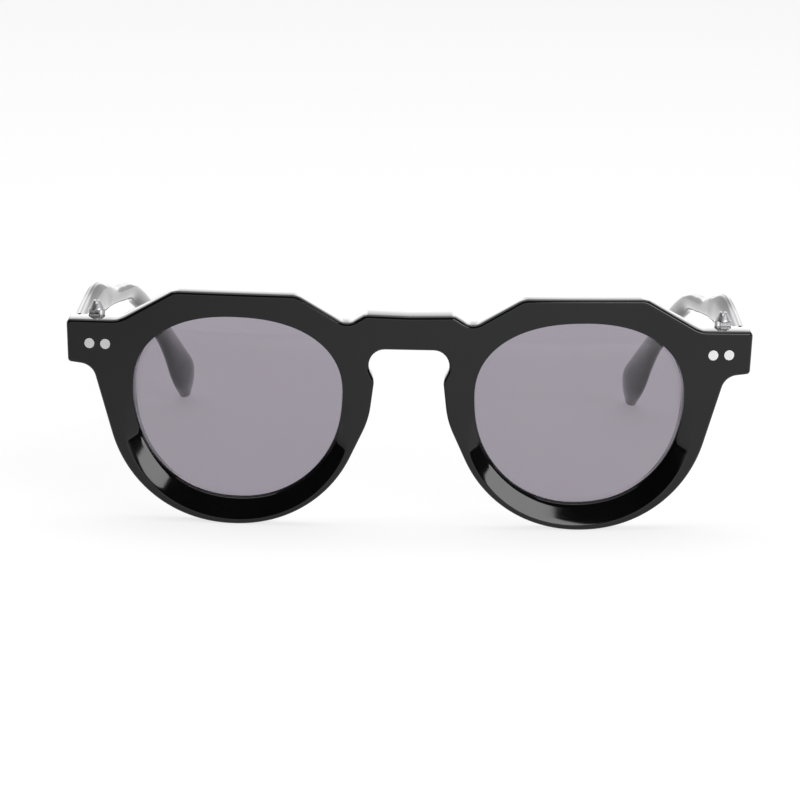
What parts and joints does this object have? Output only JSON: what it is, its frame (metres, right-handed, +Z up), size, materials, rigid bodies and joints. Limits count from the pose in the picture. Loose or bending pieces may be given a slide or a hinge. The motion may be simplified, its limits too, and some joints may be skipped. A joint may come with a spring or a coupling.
{
  "type": "sunglasses",
  "caption": "Black acetate crown-panto sunglasses with a keyhole bridge, scooped lower rims, grey lenses and folding temples on riveted hinges.",
  "frame": {"origin": "centre of the bounding box in X and Y, at the height of the table that the rims and the temple tips stand on", "axes": "+X to the wearer's left along the front, +Y back along the temples, +Z up; the lenses look along -Y"},
  "size_m": [0.1422, 0.133, 0.0486],
  "materials": {
    "acetate": "polished black acetate",
    "lens": "grey tinted, polished",
    "hinge_metal": "satin nickel silver",
    "rivet_metal": "satin silver, flush with the acetate",
    "screw_metal": "plain steel"
  },
  "bodies": {
    "front": {"front_frame": "acetate", "lens_left": "lens", "lens_right": "lens", "nose_pad_left": "acetate", "nose_pad_right": "acetate", "front_hinge_left": "hinge_metal", "front_hinge_right": "hinge_metal", "front_rivet_inner_left": "rivet_metal", "front_rivet_inner_right": "rivet_metal", "front_rivet_outer_left": "rivet_metal", "front_rivet_outer_right": "rivet_metal", "hinge_screw_left": "screw_metal", "hinge_screw_right": "screw_metal"},
    "left_temple": {"temple_left": "acetate", "core_wire_left": "hinge_metal", "temple_hinge_left": "hinge_metal", "temple_rivet_front_left": "rivet_metal", "temple_rivet_back_left": "rivet_metal"},
    "right_temple": {"temple_right": "acetate", "core_wire_right": "hinge_metal", "temple_hinge_right": "hinge_metal", "temple_rivet_front_right": "rivet_metal", "temple_rivet_back_right": "rivet_metal"}
  },
  "joints": [
    {"name": "left_temple_fold", "type": "hinge", "parent": "front", "child": "left_temple", "pos_m": [0.0653, -0.05215, 0.0385], "axis": [0, 0, 1], "range_deg": [0, 83]},
    {"name": "right_temple_fold", "type": "hinge", "parent": "front", "child": "right_temple", "pos_m": [-0.0653, -0.05215, 0.0385], "axis": [0, 0, -1], "range_deg": [0, 76]}
  ]
}
